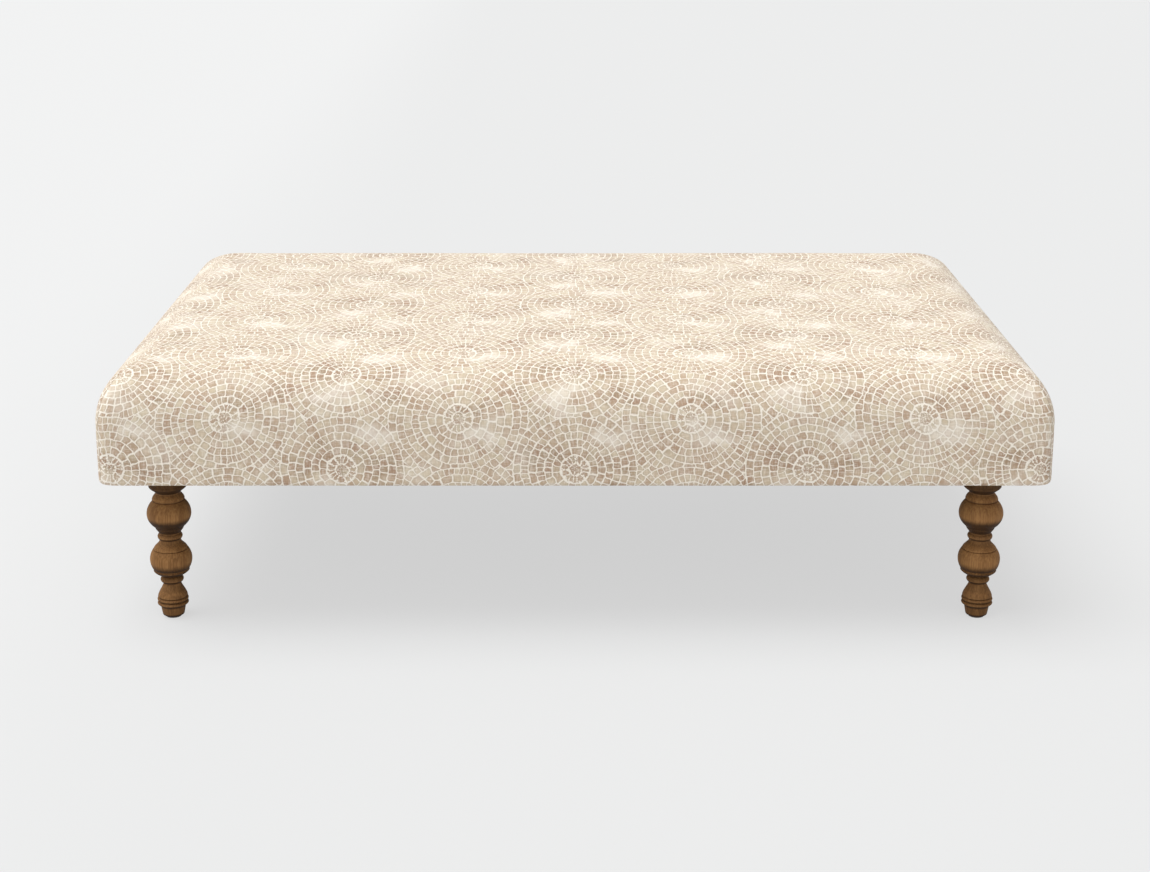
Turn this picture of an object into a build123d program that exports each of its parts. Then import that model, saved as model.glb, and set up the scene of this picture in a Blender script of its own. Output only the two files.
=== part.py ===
from build123d import *
import math
import os

# Ottoman coffee table: a padded slab on a timber frame, carried by four turned legs.
# Millimetres, +X to the right, +Y to the back, +Z up.
# The origin is on the floor, under the middle of the table.

# Slab
table_width = 1320.0
table_depth = 808.0
slab_height = 174.6
crown_height = 3.0
edge_radius = 86.0
corner_radius = 20.0
corner_clearance = 0.15
base_edge_radius = 8.0
draw_in = 0.8
draw_in_height = 45.0

# Layers of the upholstery
cover_thickness = 1.2
batting_thickness = 6.0
layer_gap = 0.3
hem_width = 50.0
batting_trim = 10.0
dust_cover_thickness = 0.8
dust_cover_margin = 24.0

# Timber frame
rail_height = 72.0
rail_thickness = 25.0
housing_depth = 8.0
deck_thickness = 12.0
block_height = 45.0
block_corner_cut = 18.0
brace_height = 60.0
brace_thickness = 22.0
brace_spacing = 330.0

# Legs, from the foot up
leg_inset = 82.5
foot_radius = 15.4
foot_top_radius = 18.4
foot_height = 14.6
ring_radius = 20.4
ring_swell = 1.6
ring_height = 5.8
ring_count = 2
bell_height = 21.4
collar_radius = 12.2
collar_swell = 4.1
collar_height = 11.8
lip_radius = 25.6
lip_rise = 7.2
lip_height = 3.6
lower_ball_radius = 29.6
lower_ball_top_radius = 24.6
shoulder_height = 12.5
waist_radius = 14.7
waist_bead_swell = 2.5
waist_bead_height = 10.9
cup_radius = 21.6
cup_height = 9.3
upper_ball_radius = 30.9
upper_ball_zone_radius = 28.9
upper_ball_foot_height = 8.4
upper_ball_top_radius = 22.0
upper_ball_top_height = 7.6
cushion_radius = 22.8
cushion_height = 3.5
cushion_taper_height = 8.0
flange_neck_radius = 17.6
flange_height = 9.8
leg_head_radius = 28.0
leg_head_height = 24.2

# Glides under the feet
glide_radius = 11.0
glide_height = 3.0

# Hanger bolts and tee nuts, 8 mm thread
bolt_radius = 3.9
bolt_wood_length = 36.0
bolt_clearance = 0.6
nut_bore_clearance = 0.1
nut_barrel_radius = 5.1
nut_barrel_length = 12.0
nut_flange_radius = 11.5
nut_flange_sides = 8
nut_flange_thickness = 1.6


# Steps of a turning: the radius at its end, its rise and how far it swells from a straight line


def cut(end_radius, rise):
    """Straight step: a cylinder or a cone."""
    return (end_radius, rise, 0)


def bead(edge_radius, swell, rise):
    """Bead with an edge round its middle: out to it and back in."""
    return [cut(edge_radius + swell, rise / 2), cut(edge_radius, rise / 2)]


def ball(radius, start_radius, end_radius):
    """Zone of a ball on the leg's axis, between the radii where it starts and ends."""
    rise = math.sqrt(radius**2 - start_radius**2) + math.sqrt(radius**2 - end_radius**2)
    half_chord = math.hypot(rise, end_radius - start_radius) / 2
    return (end_radius, rise, radius - math.sqrt(radius**2 - half_chord**2))


leg_turning = [
    cut(foot_top_radius, foot_height),
    *bead(ring_radius, ring_swell, ring_height) * ring_count,
    cut(collar_radius, bell_height),
    *bead(collar_radius, collar_swell, collar_height),
    cut(lip_radius, lip_rise),
    cut(lip_radius, lip_height),
    ball(lower_ball_radius, lip_radius, lower_ball_top_radius),
    cut(waist_radius, shoulder_height),
    *bead(waist_radius, waist_bead_swell, waist_bead_height),
    cut(cup_radius, cup_height),
    cut(upper_ball_zone_radius, upper_ball_foot_height),
    ball(upper_ball_radius, upper_ball_zone_radius, upper_ball_zone_radius),
    cut(upper_ball_top_radius, upper_ball_top_height),
    cut(cushion_radius, cushion_height),
    cut(flange_neck_radius, cushion_taper_height),
    cut(leg_head_radius, flange_height),
    cut(leg_head_radius, leg_head_height),
]

# Heights that follow from the sizes above
leg_top = glide_height + sum(rise for _, rise, _ in leg_turning)
hem_bottom = leg_top + dust_cover_thickness
frame_bottom = hem_bottom + cover_thickness
deck_bottom = frame_bottom + rail_height
deck_top = deck_bottom + deck_thickness
block_top = frame_bottom + block_height
slab_top = hem_bottom + slab_height
rounding_start = slab_top - edge_radius
draw_in_top = hem_bottom + draw_in_height

# Insets of the layers from the outside of the slab
batting_inset = cover_thickness + layer_gap
foam_inset = batting_inset + batting_thickness + layer_gap
block_inset = foam_inset + rail_thickness
block_size = 2 * (leg_inset - block_inset)
rail_edge_cut = draw_in + base_edge_radius + layer_gap - foam_inset

# Places of the legs
corners = [(side, end) for side in (-1, 1) for end in (-1, 1)]
leg_x = table_width / 2 - leg_inset
leg_y = table_depth / 2 - leg_inset


def slab_outline(size, inset, bottom, bottom_radius, drawn):
    """The slab seen from one side: drawn in below, rounded above, and crowned."""
    half = size / 2 - inset
    base = half - drawn * (draw_in_top - bottom) / draw_in_height
    radius = edge_radius - inset
    flat = half - radius
    top = slab_top - inset
    turn_in = radius * (1 - math.sqrt(1 / 2))
    right = [(base, bottom), (half, draw_in_top), (half, rounding_start), (flat, top)]
    left = [(-x, z) for x, z in right]
    edges = [Line(left[0], right[0]), ThreePointArc(right[3], (0, top + crown_height), left[3])]
    for side, points in ((1, right), (-1, left)):
        edges += [Line(points[0], points[1]), Line(points[1], points[2])]
        edges.append(ThreePointArc(points[2], (side * (half - turn_in), top - turn_in), points[3]))
    outline = make_face(edges)
    if bottom_radius:
        outline = fillet(outline.vertices().group_by(Axis.Y)[0], bottom_radius)
    return outline


def plan(inset, bottom, height, clearance=0):
    """Upright solid with the slab's plan, moved in from its outside.

    With a clearance its straight sides stand outside that, and only its corners cut.
    """
    size_x = table_width - 2 * (inset - clearance)
    size_y = table_depth - 2 * (inset - clearance)
    outline = RectangleRounded(size_x, size_y, corner_radius - inset)
    return extrude(Plane.XY.offset(bottom) * outline, height)


def slab(inset, bottom, bottom_radius=0, drawn=draw_in):
    """The padded slab, moved in from its outside, from a height upwards."""
    across = Plane.XZ * slab_outline(table_width, inset, bottom, bottom_radius, drawn)
    along = Plane.YZ * slab_outline(table_depth, inset, bottom, bottom_radius, drawn)
    whole = extrude(across, table_depth / 2, both=True) & extrude(along, table_width / 2, both=True)
    return whole & plan(inset, bottom, slab_top + crown_height - bottom, corner_clearance)


def block_at(x_span, y_span, z_span):
    """A box between pairs of x, y and z values."""
    size = [high - low for low, high in (x_span, y_span, z_span)]
    middle = [(high + low) / 2 for low, high in (x_span, y_span, z_span)]
    return Pos(*middle) * Box(*size)


def upright(radius, bottom, height):
    """A cylinder on the vertical axis, from its bottom."""
    align = (Align.CENTER, Align.CENTER, Align.MIN)
    return Pos(0, 0, bottom) * Cylinder(radius, height, align=align)


def turned(steps, radius, height):
    """A solid turned about the vertical axis, from a radius at a height upwards."""
    edges = [Line((0, height), (radius, height))]
    bottom = height
    for end_radius, rise, swell in steps:
        start = (radius, height)
        end = (end_radius, height + rise)
        edges.append(SagittaArc(start, end, -swell) if swell else Line(start, end))
        radius, height = end
    edges.append(Line((radius, height), (0, height)))
    edges.append(Line((0, height), (0, bottom)))
    return revolve(Plane.XZ * make_face(edges), Axis.Z)


def at_corners(piece):
    """One copy of a piece on the axis of each leg."""
    return [Pos(side * leg_x, end * leg_y) * piece for side, end in corners]


# Upholstery


def fabric_cover():
    """The cover, wrapped over the slab and turned under the rails."""
    outside = slab(0, hem_bottom, base_edge_radius)
    inside = slab(cover_thickness, frame_bottom, base_edge_radius - cover_thickness)
    opening_x = table_width / 2 - hem_width
    opening_y = table_depth / 2 - hem_width
    opening = block_at(
        (-opening_x, opening_x), (-opening_y, opening_y), (hem_bottom, frame_bottom)
    )
    return outside - inside - opening


def batting_layer():
    """Soft layer between the cover and what it wraps."""
    outside = slab(batting_inset, frame_bottom + batting_trim)
    return outside - slab(foam_inset - layer_gap, frame_bottom, drawn=0)


def foam_core():
    """Foam slab on the deck, with the rounded edge of the table."""
    whole = slab(foam_inset, frame_bottom, drawn=0)
    reach_x = table_width / 2
    reach_y = table_depth / 2
    return whole - block_at((-reach_x, reach_x), (-reach_y, reach_y), (frame_bottom, deck_top))


def dust_cover():
    """Thin cloth that closes the underside, slit where the bolts go through."""
    reach_x = table_width / 2 - dust_cover_margin
    reach_y = table_depth / 2 - dust_cover_margin
    sheet = block_at((-reach_x, reach_x), (-reach_y, reach_y), (leg_top, hem_bottom))
    slit_size = 2 * (bolt_radius + bolt_clearance)
    slit = Pos(0, 0, leg_top) * Box(slit_size, slit_size, 2 * dust_cover_thickness)
    return sheet - at_corners(slit)


# Frame


def frame_outline():
    """The outside of all four rails together, with their lower edge cut back."""
    frame = plan(foam_inset, frame_bottom, rail_height)
    return chamfer(frame.faces().sort_by(Axis.Z)[0].edges(), rail_edge_cut)


def side_rail(side):
    """Left or right rail, its ends housed in the long rails."""
    outer = table_width / 2
    inner = table_width / 2 - block_inset
    reach = table_depth / 2 - block_inset + housing_depth
    x_span = (min(side * inner, side * outer), max(side * inner, side * outer))
    return frame_outline() & block_at(x_span, (-reach, reach), (frame_bottom, deck_bottom))


def cross_brace(step):
    """Brace under the deck, its ends housed in the long rails."""
    middle = step * brace_spacing
    x_span = (middle - brace_thickness / 2, middle + brace_thickness / 2)
    reach = table_depth / 2 - block_inset + housing_depth
    return block_at(x_span, (-reach, reach), (deck_bottom - brace_height, deck_bottom))


def long_rail(end):
    """Front or back rail, over the whole width."""
    outer = table_depth / 2
    inner = table_depth / 2 - block_inset
    y_span = (min(end * inner, end * outer), max(end * inner, end * outer))
    reach = table_width / 2
    rail = frame_outline() & block_at((-reach, reach), y_span, (frame_bottom, deck_bottom))
    housed = [side_rail(-1), side_rail(1), cross_brace(-1), cross_brace(0), cross_brace(1)]
    return rail - housed


def deck_panel():
    """Board on the rails, under the foam."""
    return plan(foam_inset, deck_bottom, deck_thickness)


def leg_block(side, end):
    """Block in a corner of the frame, with its free corner cut off and the nut let in."""
    low_x, high_x = sorted((side * (leg_x - block_size / 2), side * (leg_x + block_size / 2)))
    low_y, high_y = sorted((end * (leg_y - block_size / 2), end * (leg_y + block_size / 2)))
    block = block_at((low_x, high_x), (low_y, high_y), (frame_bottom, block_top))
    uprights = block.edges().filter_by(Axis.Z)
    free_edge = uprights.sort_by_distance((0, 0, frame_bottom + block_height / 2))[0]
    hole = upright(nut_barrel_radius, frame_bottom, block_height)
    return chamfer(free_edge, block_corner_cut) - Pos(side * leg_x, end * leg_y) * hole


# Legs and hardware


def hanger_bolt():
    """Wood thread down in the leg, machine thread up in the tee nut."""
    return upright(bolt_radius, leg_top - bolt_wood_length, bolt_wood_length + block_top - leg_top)


def tee_nut():
    """Barrel down in the block, flange with its sides cut straight on the top of the block."""
    barrel = upright(nut_barrel_radius, block_top - nut_barrel_length, nut_barrel_length)
    flange_outline = Plane.XY.offset(block_top) * RegularPolygon(nut_flange_radius, nut_flange_sides)
    flange = extrude(flange_outline, nut_flange_thickness)
    bore = upright(
        bolt_radius + nut_bore_clearance,
        block_top - nut_barrel_length,
        nut_barrel_length + nut_flange_thickness,
    )
    return barrel + flange - bore


def turned_leg():
    """One leg, turned from the foot up to the head, bored for its bolt."""
    leg = turned(leg_turning, foot_radius, glide_height)
    return leg - hanger_bolt()


def foot_glide():
    """Hard disc under a foot."""
    return upright(glide_radius, 0, glide_height)


def write(name, solids):
    """One file for each node."""
    body = Compound(children=solids) if isinstance(solids, list) else solids
    export_step(body, f"parts/{name}.step")


def main():
    os.makedirs("parts", exist_ok=True)
    write("fabric_cover", fabric_cover())
    write("batting_layer", batting_layer())
    write("foam_core", foam_core())
    write("dust_cover", dust_cover())
    write("deck_panel", deck_panel())
    write("front_rail", long_rail(-1))
    write("back_rail", long_rail(1))
    for side, side_name in ((-1, "left"), (1, "right")):
        write(f"{side_name}_rail", side_rail(side))
        write(f"{side_name}_brace", cross_brace(side))
        for end, end_name in ((-1, "front"), (1, "back")):
            write(f"leg_block_{end_name}_{side_name}", leg_block(side, end))
    write("centre_brace", cross_brace(0))
    write("turned_legs", at_corners(turned_leg()))
    write("foot_glides", at_corners(foot_glide()))
    write("hanger_bolts", at_corners(hanger_bolt()))
    write("tee_nuts", at_corners(tee_nut()))


main()
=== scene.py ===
import math
import bpy
import bmesh
import numpy as np
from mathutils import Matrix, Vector


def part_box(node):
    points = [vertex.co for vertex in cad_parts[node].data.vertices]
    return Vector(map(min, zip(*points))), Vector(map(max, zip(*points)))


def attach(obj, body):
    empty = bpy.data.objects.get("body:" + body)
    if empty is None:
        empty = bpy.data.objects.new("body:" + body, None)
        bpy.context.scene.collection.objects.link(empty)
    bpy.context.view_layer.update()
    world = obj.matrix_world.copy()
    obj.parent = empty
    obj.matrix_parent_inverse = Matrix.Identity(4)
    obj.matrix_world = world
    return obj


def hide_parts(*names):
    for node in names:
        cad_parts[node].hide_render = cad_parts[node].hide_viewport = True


# Ottoman coffee table: printed cover over a padded slab, on four turned legs.
# Metres, +X to the right, +Y to the back, +Z up, with the origin on the floor.

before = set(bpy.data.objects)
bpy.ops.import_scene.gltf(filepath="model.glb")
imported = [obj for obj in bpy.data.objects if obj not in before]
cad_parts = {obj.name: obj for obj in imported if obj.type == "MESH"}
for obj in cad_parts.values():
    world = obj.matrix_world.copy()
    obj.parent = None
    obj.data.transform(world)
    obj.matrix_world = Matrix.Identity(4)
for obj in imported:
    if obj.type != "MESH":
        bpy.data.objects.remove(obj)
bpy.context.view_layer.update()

# Places read from the model
cover_low, cover_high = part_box("fabric_cover")
dust_low, dust_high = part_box("dust_cover")
legs_low, legs_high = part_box("turned_legs")

half_width = cover_high.x
half_depth = cover_high.y
hem_bottom = cover_low.z
leg_bottom = legs_low.z
leg_top = legs_high.z

# The slab's form
crown_height = 0.003
slab_top = cover_high.z - crown_height
edge_radius = 0.086
corner_radius = 0.020
base_edge_radius = 0.0055
draw_in = 0.0002
draw_in_height = 0.045
hem_width = 0.050

# The mesh of the slab, closer at its corners and base
grid_step = 0.012
corner_lines = (0.0, 0.003, 0.007, 0.012, 0.019, 0.028, 0.039)
base_lines = (0.0, 0.0015, 0.004, 0.0075, 0.013, 0.022)
search_steps = 40

# The simulated cloth: how far inside it starts, and how far it may move out or sink in
cloth_start = 0.0004
cloth_cap = 0.0007
cloth_sink = 0.0002
cloth_frames = 20
cloth_settings = {
    "quality": 5,
    "mass": 0.3,
    "tension_stiffness": 40,
    "compression_stiffness": 40,
    "shear_stiffness": 20,
    "bending_stiffness": 5,
    "use_pressure": True,
    "uniform_pressure_force": 1.5,
    "vertex_group_mass": "held",
}

# Small amounts: for a safe division, between equal steps, and what counts as level
tiny = 1e-6
least_step = 1e-9
skin_gap = 0.0001


# Small helpers


def placed(name, data):
    """A new object in the scene."""
    thing = bpy.data.objects.new(name, data)
    bpy.context.scene.collection.objects.link(thing)
    return thing


def link(name, mesh, body="root"):
    """Puts a mesh in the scene as a piece that rides on a body."""
    piece = placed(name, mesh)
    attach(piece, body)
    return piece


def mesh_from(name, points, faces, smooth=True):
    """A mesh from points and faces."""
    mesh = bpy.data.meshes.new(name)
    mesh.from_pydata([tuple(map(float, p)) for p in points], [], faces)
    mesh.validate()
    mesh.polygons.foreach_set("use_smooth", [smooth] * len(mesh.polygons))
    mesh.update()
    return mesh


def paint(piece, material):
    """Gives a piece one material."""
    piece.data.materials.clear()
    piece.data.materials.append(material)


mix_kinds = ("FLOAT", "VECTOR", "RGBA")


class Graph:
    """Builds the nodes of a material or a world from short calls."""

    def __init__(self, owner):
        owner.use_nodes = True
        self.owner = owner
        self.nodes = owner.node_tree.nodes
        self.links = owner.node_tree.links

    def feed(self, socket, value):
        """Sets a socket, or links an output to it."""
        if isinstance(value, bpy.types.NodeSocket):
            self.links.new(value, socket)
        else:
            socket.default_value = value

    def node(self, kind, *values, **settings):
        """A new node with its settings, and values for its first sockets."""
        node = self.nodes.new("ShaderNode" + kind)
        for name, setting in settings.items():
            setattr(node, name, setting)
        for socket, value in zip(node.inputs, values):
            self.feed(socket, value)
        return node

    def fill(self, node, **sockets):
        """Feeds a node's sockets, named with underscores for spaces."""
        for name, value in sockets.items():
            self.feed(node.inputs[name.replace("_", " ")], value)
        return node

    def math(self, operation, *values, clamp=False):
        return self.node("Math", *values, operation=operation, use_clamp=clamp).outputs[0]

    def add(self, first, second):
        return self.math("ADD", first, second)

    def sub(self, first, second):
        return self.math("SUBTRACT", first, second)

    def mul(self, first, second):
        return self.math("MULTIPLY", first, second)

    def div(self, first, second):
        return self.math("DIVIDE", first, second)

    def vector(self, x, y, z):
        return self.node("CombineXYZ", x, y, z).outputs[0]

    def vector_math(self, operation, first, second):
        return self.node("VectorMath", first, second, operation=operation).outputs[0]

    def split(self, vector):
        return self.node("SeparateXYZ", vector).outputs

    def attribute(self, name, output="Fac"):
        return self.node("Attribute", attribute_name=name).outputs[output]

    def coordinate(self, kind):
        return self.node("TexCoord").outputs[kind]

    def noise(self, vector, scale, detail=2.0, roughness=0.5):
        """Noise in steps per metre: its value and its colour."""
        node = self.node("TexNoise")
        self.fill(node, Vector=vector, Scale=scale, Detail=detail, Roughness=roughness)
        return node.outputs["Fac"], node.outputs["Color"]

    def streaks(self, vector, factors, scale=1.0, detail=2.0, roughness=0.5):
        """The value of noise in steps of its own along each axis."""
        stretched = self.vector_math("MULTIPLY", vector, factors)
        return self.noise(stretched, scale, detail, roughness)[0]

    def hash(self, vector):
        """A random value and colour for each whole-numbered vector."""
        node = self.fill(self.node("TexWhiteNoise", noise_dimensions="3D"), Vector=vector)
        return node.outputs["Value"], node.outputs["Color"]

    def between(self, value, low, high, out_low=0.0, out_high=1.0):
        """Smooth step from low to high."""
        values = (value, low, high, out_low, out_high)
        return self.node("MapRange", *values, interpolation_type="SMOOTHSTEP").outputs[0]

    def choose(self, number, factor, first, second, **settings):
        """first where the factor is 0, second where it is 1, for the kind with this number."""
        node = self.node("Mix", factor, data_type=mix_kinds[number], **settings)
        self.feed(node.inputs[2 * number + 2], first)
        self.feed(node.inputs[2 * number + 3], second)
        return node.outputs[number]

    def pick(self, factor, first, second):
        """Chooses between two values."""
        return self.choose(0, factor, first, second)

    def pick_vector(self, factor, first, second):
        """Chooses between two vectors."""
        return self.choose(1, factor, first, second)

    def mix(self, factor, first, second, blend="MIX"):
        """Mixes two colours."""
        return self.choose(2, factor, first, second, blend_type=blend, clamp_factor=True)

    def bump(self, height, strength, distance):
        node = self.fill(self.node("Bump"), Height=height, Strength=strength, Distance=distance)
        return node.outputs[0]

    def surface(self, **sockets):
        """Feeds the shader's sockets and gives back its material."""
        self.fill(self.nodes["Principled BSDF"], **sockets)
        return self.owner


def colour(red, green, blue):
    """A linear colour with full alpha."""
    return (red, green, blue, 1.0)


# The slab's surface


def side_inset(height, inset, bottom):
    """How far in from the slab's full width its sides stand at a height."""
    radius = edge_radius - inset
    top = slab_top - inset
    rise = np.clip(height - (top - radius), 0, radius)
    over = radius - np.sqrt(radius**2 - rise**2)
    drawn = np.clip((hem_bottom + draw_in_height - height) / draw_in_height, 0, 1) * draw_in
    lift = np.clip(base_edge_radius - (height - bottom), 0, base_edge_radius)
    base = base_edge_radius - np.sqrt(base_edge_radius**2 - lift**2)
    return inset + over + drawn + base


def in_slab(points, inset, bottom):
    """Whether points lie in the slab, with its outside moved in."""
    x, y, z = points.T
    sides = side_inset(z, inset, bottom) + corner_radius
    across = np.abs(x) - (half_width - sides)
    along = np.abs(y) - (half_depth - sides)
    beyond = np.hypot(np.maximum(across, 0), np.maximum(along, 0))
    plan = beyond + np.minimum(np.maximum(across, along), 0) - corner_radius
    return (plan < 0) & (z < slab_top - inset) & (z > bottom)


def crowned(points):
    """Lifts the flat top to its crown."""
    x, y, z = points.T
    part_x = np.clip(1 - (x / (half_width - edge_radius)) ** 2, 0, 1)
    part_y = np.clip(1 - (y / (half_depth - edge_radius)) ** 2, 0, 1)
    high = z > slab_top - edge_radius
    return np.stack([x, y, z + np.where(high, crown_height * part_x * part_y, 0)], axis=1)


def grid_lines(low, high, step, low_near, high_near):
    """Lines from low to high, closer together near the ends that ask for it."""
    start = [low + offset for offset in low_near]
    end = [high - offset for offset in reversed(high_near)]
    count = round((end[0] - start[-1]) / step)
    middle = np.linspace(start[-1], end[0], count + 1)[1:-1]
    return np.concatenate([start, middle, end])


def slab_mesh(name, inset, bottom, step, hem):
    """The slab's surface as one grid of quads, open below inside its hem."""
    wide, deep = half_width - inset, half_depth - inset
    xs = grid_lines(-wide, wide, step, corner_lines, corner_lines)
    ys = grid_lines(-deep, deep, step, corner_lines, corner_lines)
    zs = grid_lines(bottom, slab_top - inset, step, base_lines, [0.0])
    last_x, last_y, last_z = len(xs) - 1, len(ys) - 1, len(zs) - 1
    number = {}
    places = []
    faces = []

    def vertex(i, j, k):
        if (i, j, k) not in number:
            number[(i, j, k)] = len(places)
            places.append((xs[i], ys[j], zs[k]))
        return number[(i, j, k)]

    def quad(*corners):
        faces.append([vertex(*corner) for corner in corners])

    for i in range(last_x):
        for j in range(last_y):
            quad((i, j, last_z), (i + 1, j, last_z), (i + 1, j + 1, last_z), (i, j + 1, last_z))
            outer = max(abs(xs[i] + xs[i + 1]) / 2 - wide, abs(ys[j] + ys[j + 1]) / 2 - deep)
            if outer > -hem:
                quad((i, j, 0), (i, j + 1, 0), (i + 1, j + 1, 0), (i + 1, j, 0))
    for k in range(last_z):
        for i in range(last_x):
            quad((i, 0, k), (i + 1, 0, k), (i + 1, 0, k + 1), (i, 0, k + 1))
            quad((i, last_y, k), (i, last_y, k + 1), (i + 1, last_y, k + 1), (i + 1, last_y, k))
        for j in range(last_y):
            quad((0, j, k), (0, j, k + 1), (0, j + 1, k + 1), (0, j + 1, k))
            quad((last_x, j, k), (last_x, j + 1, k), (last_x, j + 1, k + 1), (last_x, j, k + 1))

    # Each point of the box moves along a ray from the slab's inside to its surface
    box_points = np.array(places)
    inner_x, inner_y = half_width - edge_radius, half_depth - edge_radius
    inner_low = np.array([-inner_x, -inner_y, bottom + 2 * base_edge_radius])
    inner_high = np.array([inner_x, inner_y, slab_top - edge_radius])
    centres = np.clip(box_points, inner_low, inner_high)
    rays = box_points - centres
    rays /= np.linalg.norm(rays, axis=1)[:, None]
    near = np.zeros(len(rays))
    far = np.full(len(rays), 2 * edge_radius)
    for _ in range(search_steps):
        middle = (near + far) / 2
        inside = in_slab(centres + rays * middle[:, None], inset, bottom)
        near = np.where(inside, middle, near)
        far = np.where(inside, far, middle)
    return mesh_from(name, crowned(centres + rays * near[:, None]), faces)


def coordinates(mesh):
    """A mesh's vertices as an array."""
    flat = np.empty(3 * len(mesh.vertices))
    mesh.vertices.foreach_get("co", flat)
    return flat.reshape(-1, 3)


def store(mesh, name, values):
    """Stores a number or a vector for each of a mesh's vertices."""
    kind, field = ("FLOAT_VECTOR", "vector") if np.ndim(values) > 1 else ("FLOAT", "value")
    mesh.attributes.new(name, kind, "POINT").data.foreach_set(field, np.ravel(values))


# How the cloth lies: its own coordinates, measured along it

cloth_turn = edge_radius * math.pi / 2
cloth_side = slab_top - edge_radius - hem_bottom
print_places = (0.0, 0.29, 0.47, 0.93)
print_slopes = (1.92, 1.29, 0.985)
print_samples = 4001
top_slope_long = 1.028
top_slope_deep = 0.769


def run_along(across, up, half):
    """Distance along the cloth from the middle of the top, over the rounding and down."""
    flat = half - edge_radius
    out = np.maximum(np.abs(across) - flat, 0)
    rise = up - (slab_top - edge_radius)
    angle = np.arctan2(out, np.maximum(rise, tiny))
    over = flat + edge_radius * angle - np.minimum(rise, 0)
    return np.sign(across) * np.where(out > 0, over, np.abs(across))


def print_run(run, half, top_slope):
    """The print's own coordinate: pulled wide on top, closer on the rounding, true on the sides."""
    table = np.linspace(0, 2 * half, print_samples)
    share = (table - half + edge_radius) / cloth_turn
    slope = np.interp(share, print_places, (top_slope, *print_slopes))
    total = np.concatenate([[0], np.cumsum((slope[1:] + slope[:-1]) / 2 * np.diff(table))])
    return np.sign(run) * np.interp(np.abs(run), table, total)


def write_cloth(mesh):
    """Stores the print's coordinates, and how far in each vertex is from the corners and sides."""
    x, y, z = coordinates(mesh).T
    runs = []
    for across, half in ((y, half_depth), (x, half_width)):
        under = np.maximum(half - draw_in - base_edge_radius - np.abs(across), 0)
        under *= z < hem_bottom + skin_gap
        runs.append(run_along(across, z, half) + np.sign(across) * under)
    side_end = half_depth - edge_radius + cloth_turn + cloth_side
    start = print_run(-side_end, half_depth, top_slope_deep)
    on_top = np.clip((z - slab_top + edge_radius) / edge_radius, 0, 1)
    pulled = x * (1 + (top_slope_long - 1) * on_top)
    front = print_run(runs[0], half_depth, top_slope_deep) - start
    end = print_run(runs[1], half_width, top_slope_long)
    plain = print_run(y, half_depth, top_slope_deep) - start
    store(mesh, "cloth_long", np.stack([pulled, front, 0 * x], axis=1))
    store(mesh, "cloth_end", np.stack([end, plain, 0 * x], axis=1))
    store(mesh, "cloth_corner", (np.abs(x) - half_width - np.abs(y) + half_depth) / math.sqrt(2))
    store(mesh, "cloth_inward", -np.maximum(np.abs(x) - half_width, np.abs(y) - half_depth))


def soften(piece):
    """Fills the cover by a cloth simulation, capped, and held up by the padding below it."""
    rest = coordinates(piece.data)
    copy = placed("cloth_copy", piece.data.copy())
    held = copy.vertex_groups.new(name="held")
    height = np.clip((rest[:, 2] - hem_bottom) / draw_in_height, 0, 1)
    for index in np.nonzero(height < 1)[0]:
        held.add([int(index)], float(1 - height[index]) ** 2, "REPLACE")
    settings = copy.modifiers.new("cloth", "CLOTH").settings
    for name, value in cloth_settings.items():
        setattr(settings, name, value)
    settings.effector_weights.gravity = 0
    scene = bpy.context.scene
    for number in range(1, cloth_frames + 1):
        scene.frame_set(number)
    graph = bpy.context.evaluated_depsgraph_get()
    moved = coordinates(copy.evaluated_get(graph).to_mesh())
    scene.frame_set(1)
    bpy.data.objects.remove(copy)
    normals = np.array([vertex.normal for vertex in piece.data.vertices])
    shift = moved - rest
    out = np.sum(shift * normals, axis=1)[:, None]
    limit = np.where(out > 0, cloth_cap, cloth_sink)
    shift = shift - out * normals
    shift *= cloth_cap / (cloth_cap + np.linalg.norm(shift, axis=1)[:, None])
    shift += normals * out * limit / (limit + np.abs(out))
    piece.data.vertices.foreach_set("co", (rest + shift).ravel())
    piece.data.update()


def thicken(piece, thickness):
    """Gives a sheet its thickness, inward."""
    modifier = piece.modifiers.new("thickness", "SOLIDIFY")
    modifier.thickness = thickness
    modifier.offset = -1.0


def subdivide(piece, levels):
    """Adds a subdivision surface."""
    modifier = piece.modifiers.new("subdivision", "SUBSURF")
    modifier.levels = levels
    modifier.render_levels = levels


# Fabric: a pebble mosaic of rings round staggered centres

column_step = 0.3198
row_step = 0.0713
first_row = 0.0250
ring_step = 0.01075
ring_shift = 0.1
stone_narrow = 0.0080
stone_wide = 0.0118
grout_width = 0.00076
grout_blur = 0.0005
rim_width = 0.0020
stone_corner = 0.0016
rosette_grout = 0.0001
rosette_stone = 0.0068
rosette_band = 1.92
band_depth = 0.0004
band_ends = (1.98, 2.02)
disc_ends = (0.85, 0.95)
disc_side_ends = (0.9, 1.1)
rosette_ends = (1.2, 1.8)
rosette_grout_ends = (2.1, 2.7)
disc_depth = 0.0013
far_off = 0.05
sway = (14.0, (0.004, 0.004, 0.0))
tremble = (95.0, (0.0056, 0.0056, 0.0))
stone_spread = 0.018
stone_spread_turn = 60.0
stone_start_turn = 9.0
mottle_scale = 420.0
mottle_middle = 0.52
mottle_reach = (1.9, 2.1, 0.0052, 0.0007)
ring_key = 71.0
same_ring = 0.1


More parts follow.
